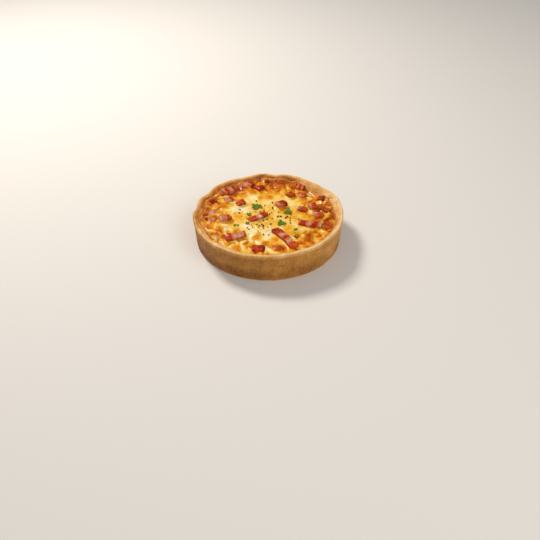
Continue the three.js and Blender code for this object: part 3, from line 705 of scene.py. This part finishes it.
def make_custard(material):
    x, y, faces = disc_grid(CUSTARD_STEPS)
    x, y = x * CUSTARD_RADIUS, y * CUSTARD_RADIUS
    flat = np.stack([x, y], axis=1)
    radius = np.hypot(x, y)
    place = leaned(np.stack([x, y, custard_height(x, y)], axis=1))
    px, py = place[:, 0], place[:, 1]
    near = lardon_distance(px, py)
    clear = smoothstep(near, -0.5, 1.2)
    outer = smoothstep(radius + 5 * noise_at(flat, 12, 46), 20, 42)

    askew = flat @ np.array([[0.8, -0.6], [0.6, 0.8]])
    warped = flat + np.stack([noise_at(askew, 6, 31), noise_at(askew, 6, 32)], axis=1) * 2.4
    warped = warped + np.stack([noise_at(flat, 2.4, 38), noise_at(flat, 2.4, 39)], axis=1) * 0.8
    warped_x, warped_y = warped.T
    shreds = shred_relief(warped_x, warped_y)
    calm = smoothstep(noise_at(flat, 8, 35), -0.15, 0.4)
    away_from_front = 0.2 + 0.8 * smoothstep(y + 0.55 * np.abs(x), -25, 15)
    rough = outer * (1 - 0.65 * calm) * (0.45 + 0.55 * away_from_front)
    humps = np.abs(noise_at(warped, 5, 37))
    folds = fading(humps, 0.1)
    domes = np.zeros(len(x))
    for at_x, at_y, size, _ in BLISTERS:
        domes = np.maximum(domes, spot_share(x, y, at_x, at_y, 1.1 * size))
    relief = shreds * (0.3 + 1.3 * rough) + 2.8 * humps * rough
    relief += 0.45 * noise_at(warped, 5, 36) * (0.5 + 0.7 * outer)
    relief += 0.25 * noise_at(warped, 2, 33) * (0.3 + 0.7 * rough)
    relief += 0.04 * noise_at(flat, 0.9, 34) - 0.5 * folds * rough
    relief *= 1 - 0.85 * domes
    rounder_x, rounder_y = (flat + 0.35 * (warped - flat)).T
    relief += 0.5 * spots_at(rounder_x, rounder_y, BLISTERS, 4)
    relief += 0.15 * spots_at(warped_x, warped_y, ORANGE)
    relief *= clear * (1 - 0.6 * smoothstep(radius, CUSTARD_RADIUS - 2.5, CUSTARD_RADIUS))
    # the custard is drawn up each lardon, and sags just round it
    relief += 0.7 * fading(near - 0.1, 0.9) - 0.3 * fading(near - 2.4, 1.2)
    place[:, 2] += relief

    toast = 0.2 + 0.05 * noise_at(flat, 9, 41) + 0.06 * noise_at(warped, 3.5, 42)
    edge = smoothstep(radius + 5 * noise_at(flat, 8, 43), 26, 46)
    toast += edge * away_from_front * (0.3 + 0.24 * noise_at(warped, 5, 44))
    # ridges of cheese lighter and the hollows between darker: partly fat pooled in the hollows, partly
    # painted light on the ridges and painted shade in the hollows
    toast -= edge * (0.34 * (shreds - 0.3) + 0.34 * (humps - 0.2))
    # painted shade in the folds between the lumps
    toast += (0.05 + 0.15 * edge) * folds
    patchy = noise_at(warped, 4.5, 47) + 0.4 * noise_at(askew, 2, 48)
    toast += (0.1 + 0.12 * edge) * (smoothstep(patchy, -0.12, 0.16) - 0.5)
    toast += 0.26 * spots_at(x, y, GOLDEN) - 0.24 * spots_at(x, y, CREAMY)
    bumpy = 0.85 + 0.5 * noise_at(warped, 2.4, 45)
    toast += 0.6 * bumpy * spots_at(warped_x, warped_y, TOASTED)
    # darker right round each lardon: partly the meat's juices, partly painted shade at its foot
    toast += 0.06 * fading(near, 1.2)
    toast = np.minimum(toast, TOAST_KNEE + 0.35 * (toast - TOAST_KNEE))
    grilled = noise_at(warped, 2, 49)
    for at_x, at_y, size, rise in BLISTERS:
        dome = 0.9 * spot_share(rounder_x, rounder_y, at_x, at_y, size, 4)
        toast = toast * (1 - dome) + (0.29 + 0.25 * rise + 0.16 * grilled) * dome
    for at_x, at_y, size, amount in ORANGE:
        spot = 0.85 * spot_share(warped_x, warped_y, at_x, at_y, size, 3)
        toast = toast * (1 - spot) + np.maximum(toast, 0.6 * amount + 0.12 * grilled) * spot
    # at its edge a thin dry skin the colour of pastry runs up the wall, widest where the wall slumped
    sloping = 3.5 * pinch_share(np.arctan2(y, x), 38, 13) + 1.2 + 1.2 * noise_at(flat, 5, 50)
    dried = 0.9 * smoothstep(radius, CUSTARD_RADIUS - 1 - sloping, CUSTARD_RADIUS - 0.4 * sloping + 0.5)
    dried *= 0.3 + 0.7 * away_from_front

    # below its rim the custard goes down beside the wall, and closes over the pastry's floor
    steps = CUSTARD_STEPS
    bottom_row = list(range(steps + 1))
    right_side = [(steps + 1) * r + steps for r in range(1, steps + 1)]
    top_row = [(steps + 1) * steps + c for c in range(steps - 1, -1, -1)]
    left_side = [(steps + 1) * r for r in range(steps - 1, 0, -1)]
    rim = bottom_row + right_side + top_row + left_side
    edge_points = np.stack([x[rim], y[rim]], axis=1)
    levels = [
        (CUSTARD_LEVEL - 1, UNDER_CUSTARD_RADIUS - CUSTARD_GAP),
        (CORNER_TOP, CORNER_TOP_RADIUS - CUSTARD_GAP),
        (BASE_THICKNESS + CUSTARD_GAP, FLOOR_RADIUS - CUSTARD_GAP),
    ]
    rings = [rim]
    for level, reach in levels:
        ring = np.column_stack([edge_points * reach / CUSTARD_RADIUS, np.full(len(rim), level)])
        rings.append(list(range(len(place), len(place) + len(rim))))
        place = np.vstack([place, leaned(ring)])
    place = np.vstack([place, [[0, 0, BASE_THICKNESS + CUSTARD_GAP]]])
    for upper, lower in zip(rings, rings[1:]):
        faces += ring_quads(upper[::-1], lower[::-1])
    lowest = rings[-1]
    for i, j in zip(lowest, lowest[1:] + lowest[:1]):
        faces.append((j, i, len(place) - 1))
    hidden = np.full(len(place) - len(toast), 0.3)
    values = {"toast": np.concatenate([toast, hidden]), "dried": np.concatenate([dried, hidden])}
    made = mesh_piece("custard_top", place, faces, material, values)
    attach(made, "root")
    return made


def custard_material():
    # Egg custard set under grated cheese, grilled: moist, pale yellow and creamy where the egg shows,
    # gold where the cheese melted, orange to brown where it toasted, with oil glints on the bumps.
    material, tree, shader = new_material("baked_custard_with_toasted_cheese", {
        "IOR": 1.42, "Specular IOR Level": 0.08, "Coat Weight": 0.28, "Coat Roughness": 0.07,
        "Subsurface Weight": 0.2, "Subsurface Scale": 1 * MM, "Subsurface Radius": (1.0, 0.55, 0.2),
    })
    place = add(tree, "ShaderNodeTexCoord").outputs["Object"]
    mottle = add(tree, "ShaderNodeTexNoise", None, {
        "Vector": place, "Scale": lumps(2.6), "Detail": 5, "Roughness": 0.6, "Distortion": 0.6,
    })
    fine = add(tree, "ShaderNodeTexNoise", None, {
        "Vector": place, "Scale": lumps(0.7), "Detail": 3, "Roughness": 0.55,
    })
    # the toasting number also carries painted light and shade from the custard's relief
    toast, dried = [
        add(tree, "ShaderNodeAttribute", {"attribute_name": name}).outputs["Fac"]
        for name in ("toast", "dried")
    ]
    tone = tone_from(tree, toast, [(mottle, 0.3), (fine, 0.12)], 0.21)
    stops = [
        (0.0, "#fdeab8"), (0.14, "#fbd26c"), (0.3, "#f1b025"), (0.45, "#e48f0a"), (0.6, "#cd6c02"),
        (0.74, "#ad4c02"), (0.88, "#823002"), (1.0, "#541b02"),
    ]
    cheese = add(tree, "ShaderNodeValToRGB", {"stops": stops}, {"Fac": tone})
    stops = [(0.3, "#e6b06a"), (0.5, "#d2934a"), (0.7, "#b0702a")]
    skin = add(tree, "ShaderNodeValToRGB", {"stops": stops}, {"Fac": mottle})
    colour = add(tree, "ShaderNodeMix", {"data_type": "RGBA"}, {0: dried, 6: cheese, 7: skin}).outputs[2]
    rise = add(tree, "ShaderNodeMath", {"operation": "MULTIPLY_ADD"}, {0: mottle, 1: 2.2, 2: fine})
    finish_surface(tree, shader, colour, (rise, 0.7, 0.4), (mottle, 0.3, 0.6), (mottle, 0.35, 0.4))
    return material


# The lardons

def cube_grid(cuts):
    """Points of a cube from -1 to 1 with each side cut alike, welded, and its quads."""
    index, points, quads = {}, [], []
    side = np.linspace(-1, 1, cuts + 1)
    for axis in range(3):
        for end in (0, cuts):
            for i in range(cuts):
                for j in range(cuts):
                    quad = []
                    for di, dj in ((0, 0), (1, 0), (1, 1), (0, 1)):
                        key = [0, 0, 0]
                        key[axis], key[(axis + 1) % 3], key[(axis + 2) % 3] = end, i + di, j + dj
                        key = tuple(key)
                        if key not in index:
                            index[key] = len(points)
                            points.append([side[k] for k in key])
                        quad.append(index[key])
                    quads.append(tuple(quad if end else reversed(quad)))
    return np.array(points), quads


def rotation(x_turn, y_turn, z_turn):
    """The same turn as three angles in the order Z, X, Y give."""
    cx, sx = math.cos(x_turn), math.sin(x_turn)
    cy, sy = math.cos(y_turn), math.sin(y_turn)
    cz, sz = math.cos(z_turn), math.sin(z_turn)
    about_x = np.array([[1, 0, 0], [0, cx, -sx], [0, sx, cx]])
    about_y = np.array([[cy, 0, sy], [0, 1, 0], [-sy, 0, cy]])
    about_z = np.array([[cz, -sz, 0], [sz, cz, 0], [0, 0, 1]])
    return about_z @ about_x @ about_y


def make_lardon(number, piece, grid, quads, material):
    at_x, at_y, long, wide, proud, turn, bands = piece
    is_strip = len(bands) > STRIP_BANDS
    half = np.array([long / 2, wide / 2, LARDON_DEPTH / 2])
    spread = np.sin(grid * math.pi / 2 * LARDON_CROWDING) / math.sin(math.pi / 2 * LARDON_CROWDING)
    core = half - LARDON_ROUNDING
    points = spread * half
    nearest = np.clip(points, -core, core)
    away = points - nearest
    length = np.linalg.norm(away, axis=1, keepdims=True)
    points = nearest + np.where(length > 0, away / np.maximum(length, 1e-9), 0) * LARDON_ROUNDING
    local = points.copy()
    seed = 200 + number * 10
    shifted = local + number * 31.7

    # bands of lean and fat lie across the piece, their edges wandering a little
    slant = 0.12 * wide * math.sin(number * 1.3) * local[:, 1] / (wide / 2)
    wander = 0.55 * noise_at(shifted, 2.6, seed) + 0.25 * noise_at(shifted, 1.1, seed + 1)
    share = np.clip((local[:, 0] + slant + wander) / long + 0.5, 0, 0.9999) * len(bands)
    tones = np.array([BAND_TONES[b] for b in bands])
    place = np.clip(share - 0.5, 0, len(bands) - 1.0001)
    first = np.floor(place).astype(int)
    second = np.minimum(first + 1, len(bands) - 1)
    blend = smoothstep(place - first, 0.3, 0.7)
    tone = tones[first] * (1 - blend) + tones[second] * blend
    tone = tone + 0.1 * noise_at(shifted * [0.35, 1, 1], 1.0, seed + 2)
    tone = tone + 0.14 * noise_at(shifted, 2, seed + 7)
    # the cut face is redder on top, and lighter down the sides: partly where juices kept it moist, partly
    # painted light that lifts the sides out of their shade
    upness = smoothstep(local[:, 2], 0.5, LARDON_DEPTH / 2 - 0.3)
    tone = tone + 0.06 * upness - 0.14 * (1 - upness)
    fat = 1 - smoothstep(tone, 0.12, 0.3)

    normals = point_normals(points, quads)
    relief = 0.5 * noise_at(shifted, 3.4, seed + 3) + 0.2 * noise_at(shifted, 1.5, seed + 4)
    relief -= 0.9 * fat * (1 if is_strip else 0.4)
    relief += 0.07 * noise_at(shifted * [0.3, 1, 1], 0.8, seed + 5) * (1 - fat)
    points = points + normals * np.clip(relief, -1.2, 0.3)[:, None]

    taper, lean, bow = cut_shape(number, long)
    along = points[:, 0] / (long / 2)
    if is_strip:
        points[:, 1] *= (1 + 0.2 * noise_at(shifted[:, :1], 4, seed + 8)) * (1 - 0.14 * fat)
        points[:, 1] += 0.6 * noise_at(shifted[:, :1], 6, seed + 9)
    points[:, 1] = points[:, 1] * (1 + taper * along) + bow * (along * along - 0.4)
    points[:, 0] += lean * points[:, 2]
    top = float(custard_height(np.array([at_x]), np.array([at_y]))[0]) + proud
    tilts = 0.07 * math.sin(number * 1.9), 0.07 * math.cos(number * 2.7)
    turned = points @ rotation(*tilts, math.radians(turn)).T
    turned += [at_x, at_y, top - LARDON_DEPTH / 2]

    edges = np.sort(np.abs(local) / half, axis=1)[:, 1]
    seared = 0.4 * smoothstep(edges, 0.75, 1.0) * upness * (0.4 + 0.7 * noise_at(shifted, 1.6, seed + 6))
    browned = np.array([1.0 if band == "B" else 0.0 for band in bands])
    seared += 0.95 * (browned[first] * (1 - blend) + browned[second] * blend)
    made = mesh_piece(
        f"lardon_meat_{number + 1:02d}", turned, quads, material,
        {"tone": tone, "seared": np.clip(seared, 0, 1), "grain": shifted * MM},
    )
    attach(made, "root")
    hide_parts(f"lardon_{number + 1:02d}")


def lardon_material():
    # Cured pork belly, fried and baked: moist red lean in fibres, translucent pale pink fat between, the
    # corners seared brown. The juices give it a wet gloss.
    material, tree, shader = new_material("cured_pork_lardon", {
        "IOR": 1.44, "Specular IOR Level": 0.1, "Coat Weight": 0.25, "Coat Roughness": 0.07,
        "Subsurface Weight": 0.15, "Subsurface Scale": 0.8 * MM, "Subsurface Radius": (1.0, 0.35, 0.25),
    })
    tone, seared, grain = [
        add(tree, "ShaderNodeAttribute", {"attribute_name": name}) for name in ("tone", "seared", "grain")
    ]
    grain = grain.outputs["Vector"]
    along = add(tree, "ShaderNodeMapping", None, {"Vector": grain, "Scale": (0.25, 1, 1)})
    fibres, blotches = [
        add(tree, "ShaderNodeTexNoise", None, {
            "Vector": vector, "Scale": lumps(size), "Detail": 3, "Roughness": 0.55,
        })
        for size, vector in ((0.6, along), (1.8, grain))
    ]
    tone = tone_from(tree, tone.outputs["Fac"], [(fibres, 0.2), (blotches, 0.2)], 0.2)
    stops = [
        (0.0, "#e0b898"), (0.18, "#d69c7e"), (0.36, "#ca704c"), (0.52, "#cd5210"), (0.68, "#b53403"),
        (0.85, "#8b2001"), (1.0, "#541401"),
    ]
    meat = add(tree, "ShaderNodeValToRGB", {"stops": stops}, {"Fac": tone})
    share = add(tree, "ShaderNodeMath", {"operation": "MULTIPLY"}, {0: seared.outputs["Fac"], 1: 0.85})
    crisp = linear("#a85002")
    colour = add(tree, "ShaderNodeMix", {"data_type": "RGBA"}, {0: share, 6: meat, 7: crisp}).outputs[2]
    rise = add(tree, "ShaderNodeMath", {"operation": "ADD"}, {0: fibres, 1: blotches})
    finish_surface(tree, shader, colour, (rise, 0.7, 0.4), (blotches, 0.25, 0.5), (blotches, 0.4, 0.4))
    return material


# The parsley

def make_leaf(number, leaf, material):
    at_x, at_y, spread, turn = leaf
    angle = np.linspace(0, 2 * math.pi, LEAF_ROUND, endpoint=False)
    lobes = 0.2 * np.cos(3 * angle + turn) + 0.12 * np.cos(5 * angle + 2 * turn)
    teeth = 0.1 * np.cos(11 * angle + turn) + 0.05 * np.cos(19 * angle)
    reach = spread * (0.8 + lobes + teeth)
    shares = np.linspace(0, 1, LEAF_RINGS + 1)[1:]
    ring_share = np.concatenate([[0], np.repeat(shares, LEAF_ROUND)])
    ring_angle = np.concatenate([[0], np.tile(angle, LEAF_RINGS)])
    ring_reach = np.concatenate([[0], np.tile(reach, LEAF_RINGS)]) * ring_share
    turned = ring_angle + math.radians(turn)
    x = at_x + ring_reach * np.cos(turned)
    y = at_y + ring_reach * np.sin(turned)
    curl = 0.16 * ring_share * spread * (0.5 + 0.5 * np.cos(2 * ring_angle))
    ruffle = 0.1 * spread * ring_share**2 * np.sin(7 * ring_angle + number)
    vein = np.abs(np.sin(1.5 * ring_angle + turn / 2 + math.pi / 2))
    crease = -0.12 * spread * fading(vein, 0.22) * ring_share * (1 - 0.5 * ring_share)
    z = custard_height(x, y) + curl + ruffle + crease + LEAF_LIFT + LEAF_THICKNESS + 0.15
    top = np.stack([x, y, z], axis=1)
    low = top - [0, 0, LEAF_THICKNESS]
    layer = len(top)
    faces = []

    def at(face, ring, i):
        return face * layer + (0 if ring == 0 else 1 + (ring - 1) * LEAF_ROUND + i % LEAF_ROUND)

    for i in range(LEAF_ROUND):
        faces.append((at(0, 0, 0), at(0, 1, i), at(0, 1, i + 1)))
        faces.append((at(1, 0, 0), at(1, 1, i + 1), at(1, 1, i)))
        for ring in range(1, LEAF_RINGS):
            faces.append((at(0, ring, i), at(0, ring + 1, i), at(0, ring + 1, i + 1), at(0, ring, i + 1)))
            faces.append((at(1, ring, i + 1), at(1, ring + 1, i + 1), at(1, ring + 1, i), at(1, ring, i)))
        last = LEAF_RINGS
        faces.append((at(0, last, i), at(1, last, i), at(1, last, i + 1), at(0, last, i + 1)))
    made = mesh_piece(
        f"parsley_leaf_{number + 1:02d}", np.vstack([top, low]), faces, material,
        {"vein": np.tile(fading(vein, 0.16) * ring_share, 2)},
    )
    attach(made, "root")
    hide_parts(f"parsley_{number + 1:02d}")


def parsley_material():
    # Chopped fresh parsley: deep green and thin enough to glow a little, with paler veins and a moist sheen
    material, tree, shader = new_material("fresh_parsley_leaf", {
        "IOR": 1.42, "Specular IOR Level": 0.25, "Roughness": 0.45, "Coat Weight": 0.08,
        "Subsurface Weight": 0.15, "Subsurface Scale": 0.8 * MM, "Subsurface Radius": (0.4, 1.0, 0.2),
    })
    place = add(tree, "ShaderNodeTexCoord").outputs["Object"]
    patches = add(tree, "ShaderNodeTexNoise", None, {
        "Vector": place, "Scale": lumps(1.1), "Detail": 4, "Roughness": 0.55,
    })
    vein = add(tree, "ShaderNodeAttribute", {"attribute_name": "vein"}).outputs["Fac"]
    tone = add(tree, "ShaderNodeMath", {"operation": "MULTIPLY_ADD"}, {0: vein, 1: 0.4, 2: patches})
    stops = [(0.2, "#355002"), (0.5, "#587602"), (0.75, "#7f9506"), (1.0, "#afba2c")]
    colour = add(tree, "ShaderNodeValToRGB", {"stops": stops}, {"Fac": tone})
    finish_surface(tree, shader, colour, (patches, 0.4, 0.2))
    return material


# The pepper

def bare(x, y, margin):
    """Whether a place on the custard is clear of every lardon and leaf by a margin."""
    for at_x, at_y, long, wide, _, turn, _ in LARDONS:
        along, across = turned_to(x, y, at_x, at_y, math.radians(turn))
        if abs(along) < long / 2 + margin and abs(across) < wide / 2 + margin:
            return False
    return all(math.hypot(x - leaf[0], y - leaf[1]) > leaf[2] * 1.15 + margin for leaf in LEAVES)


def pepper_places():
    """Where the model's grains lie, from the same draws: place, size and turn of each."""
    middle_x, middle_y = PEPPER_MIDDLE
    state = PEPPER_SEED

    def draw():
        nonlocal state
        state = (state * 16807) % 2147483647
        return state / 2147483647

    grains = []
    while len(grains) < PEPPER_GRAINS:
        reach = 26 * math.sqrt(-math.log(1 - 0.86 * draw()) / 2)
        angle = 2 * math.pi * draw()
        x = middle_x + 1.15 * reach * math.cos(angle)
        y = middle_y + reach * math.sin(angle)
        size = PEPPER_RADIUS * (0.75 + 0.5 * draw())
        turn = 2 * math.pi * draw()
        if bare(x, y, 1.6):
            grains.append((x, y, size, turn))
    return grains


def pepper_dust():
    """The finest cracks and dust of the same grind, too small for the model."""
    draw = np.random.default_rng(DUST_SEED)
    grains = []
    while len(grains) < DUST_GRAINS:
        x, y = PEPPER_MIDDLE[0] + 17 * draw.normal(), PEPPER_MIDDLE[1] + 15 * draw.normal()
        if math.hypot(x, y) < 48 and bare(x, y, 0.3):
            grains.append((x, y, draw.uniform(0.16, 0.38), 2 * math.pi * draw.random()))
    return grains


def grain_tree(material):
    """Geometry Nodes that put a cracked grain on each point, at the point's own size and turn."""
    tree = bpy.data.node_groups.new("cracked_pepper", "GeometryNodeTree")
    face = tree.interface
    face.new_socket("Points", in_out="INPUT", socket_type="NodeSocketGeometry")
    face.new_socket("Roughness of the cracks", in_out="INPUT", socket_type="NodeSocketFloat")
    face.new_socket("Cuts", in_out="INPUT", socket_type="NodeSocketInt")
    face.new_socket("Grains", in_out="OUTPUT", socket_type="NodeSocketGeometry")
    start = add(tree, "NodeGroupInput")
    size = add(tree, "GeometryNodeInputNamedAttribute", {"data_type": "FLOAT"}, {"Name": "size"})
    turn = add(tree, "GeometryNodeInputNamedAttribute", {"data_type": "FLOAT"}, {"Name": "turn"})
    cuts = start.outputs["Cuts"]
    ball = add(tree, "GeometryNodeMeshIcoSphere", None, {"Radius": 1.0, "Subdivisions": cuts})
    angles = add(tree, "ShaderNodeCombineXYZ", None, {"X": turn, "Z": turn})
    lengths = add(tree, "ShaderNodeCombineXYZ", None, {"X": 0.95, "Y": 0.75, "Z": 0.7})
    scaled = add(tree, "ShaderNodeVectorMath", {"operation": "SCALE"}, {0: lengths, "Scale": size})
    put = add(tree, "GeometryNodeInstanceOnPoints", None, {
        "Points": start.outputs["Points"], "Instance": ball, "Rotation": angles, "Scale": scaled,
    })
    real = add(tree, "GeometryNodeRealizeInstances", None, {"Geometry": put})
    crack = add(tree, "ShaderNodeTexNoise", None, {"Scale": CRACK_SCALE, "Detail": 2.0})
    middle = add(tree, "ShaderNodeVectorMath", {"operation": "SUBTRACT"}, {
        0: crack.outputs["Color"], 1: (0.5, 0.5, 0.5),
    })
    push = add(tree, "ShaderNodeVectorMath", {"operation": "SCALE"}, {
        0: middle, "Scale": start.outputs["Roughness of the cracks"],
    })
    moved = add(tree, "GeometryNodeSetPosition", None, {"Geometry": real, "Offset": push})
    coloured = add(tree, "GeometryNodeSetMaterial", None, {"Geometry": moved, "Material": material})
    add(tree, "NodeGroupOutput", None, {"Grains": coloured})
    return tree


def make_pepper(name, grains, cuts, roughness, custard, material):
    """One mesh of grains that lie on the custard's skin."""
    surface = custard.data
    skin = np.zeros(len(surface.vertices) * 3)
    surface.vertices.foreach_get("co", skin)
    skin = skin.reshape(-1, 3)[: (CUSTARD_STEPS + 1) ** 2]
    points = []
    for x, y, size, _ in grains:
        nearest = np.argmin((skin[:, 0] - x * MM) ** 2 + (skin[:, 1] - y * MM) ** 2)
        points.append((x * MM, y * MM, skin[nearest, 2] + 0.45 * size * MM))
    mesh = bpy.data.meshes.new(name)
    mesh.from_pydata(points, [], [])
    for label, values in (("size", [g[2] * MM for g in grains]), ("turn", [g[3] for g in grains])):
        mesh.attributes.new(label, "FLOAT", "POINT").data.foreach_set("value", values)
    seedbed = bpy.data.objects.new(name + "_points", mesh)
    bpy.context.scene.collection.objects.link(seedbed)
    tree = grain_tree(material)
    spread = seedbed.modifiers.new("grind", "NODES")
    spread.node_group = tree
    wanted = {"Cuts": cuts, "Roughness of the cracks": roughness * MM}
    for socket in tree.interface.items_tree:
        if socket.name in wanted and socket.in_out == "INPUT":
            spread[socket.identifier] = wanted[socket.name]
    graph = bpy.context.evaluated_depsgraph_get()
    result = bpy.data.meshes.new_from_object(seedbed.evaluated_get(graph))
    bpy.data.objects.remove(seedbed)
    result.name = name
    made = bpy.data.objects.new(name, result)
    bpy.context.scene.collection.objects.link(made)
    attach(made, "root")
    return made


def pepper_material():
    # Cracked black peppercorn: nearly black skin, and a little of the tan core where it broke
    values = {"IOR": 1.45, "Roughness": 0.6, "Specular IOR Level": 0.25}
    material, tree, shader = new_material("cracked_black_pepper", values)
    place = add(tree, "ShaderNodeTexCoord").outputs["Object"]
    core = add(tree, "ShaderNodeTexNoise", None, {
        "Vector": place, "Scale": lumps(0.5), "Detail": 2, "Roughness": 0.55,
    })
    stops = [(0.3, "#24150a"), (0.55, "#46290f"), (0.8, "#8a5e2e")]
    feed(tree, shader, {"Base Color": add(tree, "ShaderNodeValToRGB", {"stops": stops}, {"Fac": core})})
    return material


# The floor, the light and the camera

FLOOR_HALF = 1.5  # metres
CAMERA_PLACE = (1.51, -412.32, 303.56)  # millimetres from the middle of the underside
CAMERA_DOWN = 39.57  # degrees below the horizon
CAMERA_LENS = 41.6  # millimetres
SENSOR_WIDTH = 36  # millimetres
NEAREST_SEEN = 0.01  # metres
LIT_PLACE = (0, 0, 0.02)  # what the lights face, inside the quiche
ROOM_STRENGTH = 0.3
# Square soft lights: name, place, power in watts, side and tint
LIGHTS = [
    ("key_from_the_left", (-0.42, 0.48, 0.68), 6.6, 0.22, "#fff6ea"),
    ("fill_from_the_front", (0.45, -0.6, 0.6), 3.2, 0.6, "#fffaf4"),
]


def make_floor():
    material = new_material("pale_matt_floor", {"Roughness": 0.8, "Base Color": linear("#e6e3df")})[0]
    corners = [(-1, -1), (1, -1), (1, 1), (-1, 1)]
    points = [(x * FLOOR_HALF / MM, y * FLOOR_HALF / MM, 0) for x, y in corners]
    floor = mesh_piece("floor", points, [(0, 1, 2, 3)], material)


def make_light(name, place, power, size, tint):
    """A square soft light that faces the quiche."""
    lamp = bpy.data.lights.new(name, "AREA")
    lamp.energy = power
    lamp.size = size
    lamp.color = linear(tint)[:3]
    made = bpy.data.objects.new(name, lamp)
    made.location = place
    made.rotation_euler = (Vector(LIT_PLACE) - Vector(place)).to_track_quat("-Z", "Y").to_euler()
    bpy.context.scene.collection.objects.link(made)


def make_studio():
    scene = bpy.context.scene
    scene.view_settings.view_transform = "Standard"
    world = bpy.data.worlds.new("soft_room")
    world.use_nodes = True
    tree = world.node_tree
    feed(tree, tree.nodes["Background"], {"Color": linear("#ffffff"), "Strength": ROOM_STRENGTH})
    scene.world = world
    for light in LIGHTS:
        make_light(*light)


def make_camera():
    data = bpy.data.cameras.new("camera")
    data.lens = CAMERA_LENS
    data.sensor_width = SENSOR_WIDTH
    data.clip_start = NEAREST_SEEN
    made = bpy.data.objects.new("camera", data)
    made.location = [c * MM for c in CAMERA_PLACE]
    made.rotation_euler = (math.radians(90 - CAMERA_DOWN), 0, 0)
    bpy.context.scene.collection.objects.link(made)
    bpy.context.scene.camera = made


make_studio()
make_camera()
make_floor()
make_case(pastry_material())
custard = make_custard(custard_material())
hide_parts("custard")
meat = lardon_material()
grid, quads = cube_grid(LARDON_CUTS)
for number, piece in enumerate(LARDONS):
    make_lardon(number, piece, grid, quads, meat)
green = parsley_material()
for number, leaf in enumerate(LEAVES):
    make_leaf(number, leaf, green)
pepper = pepper_material()
make_pepper("pepper_grains", pepper_places(), GRAIN_CUTS, GRAIN_CRACKS, custard, pepper)
make_pepper("pepper_dust", pepper_dust(), DUST_CUTS, DUST_CRACKS, custard, pepper)
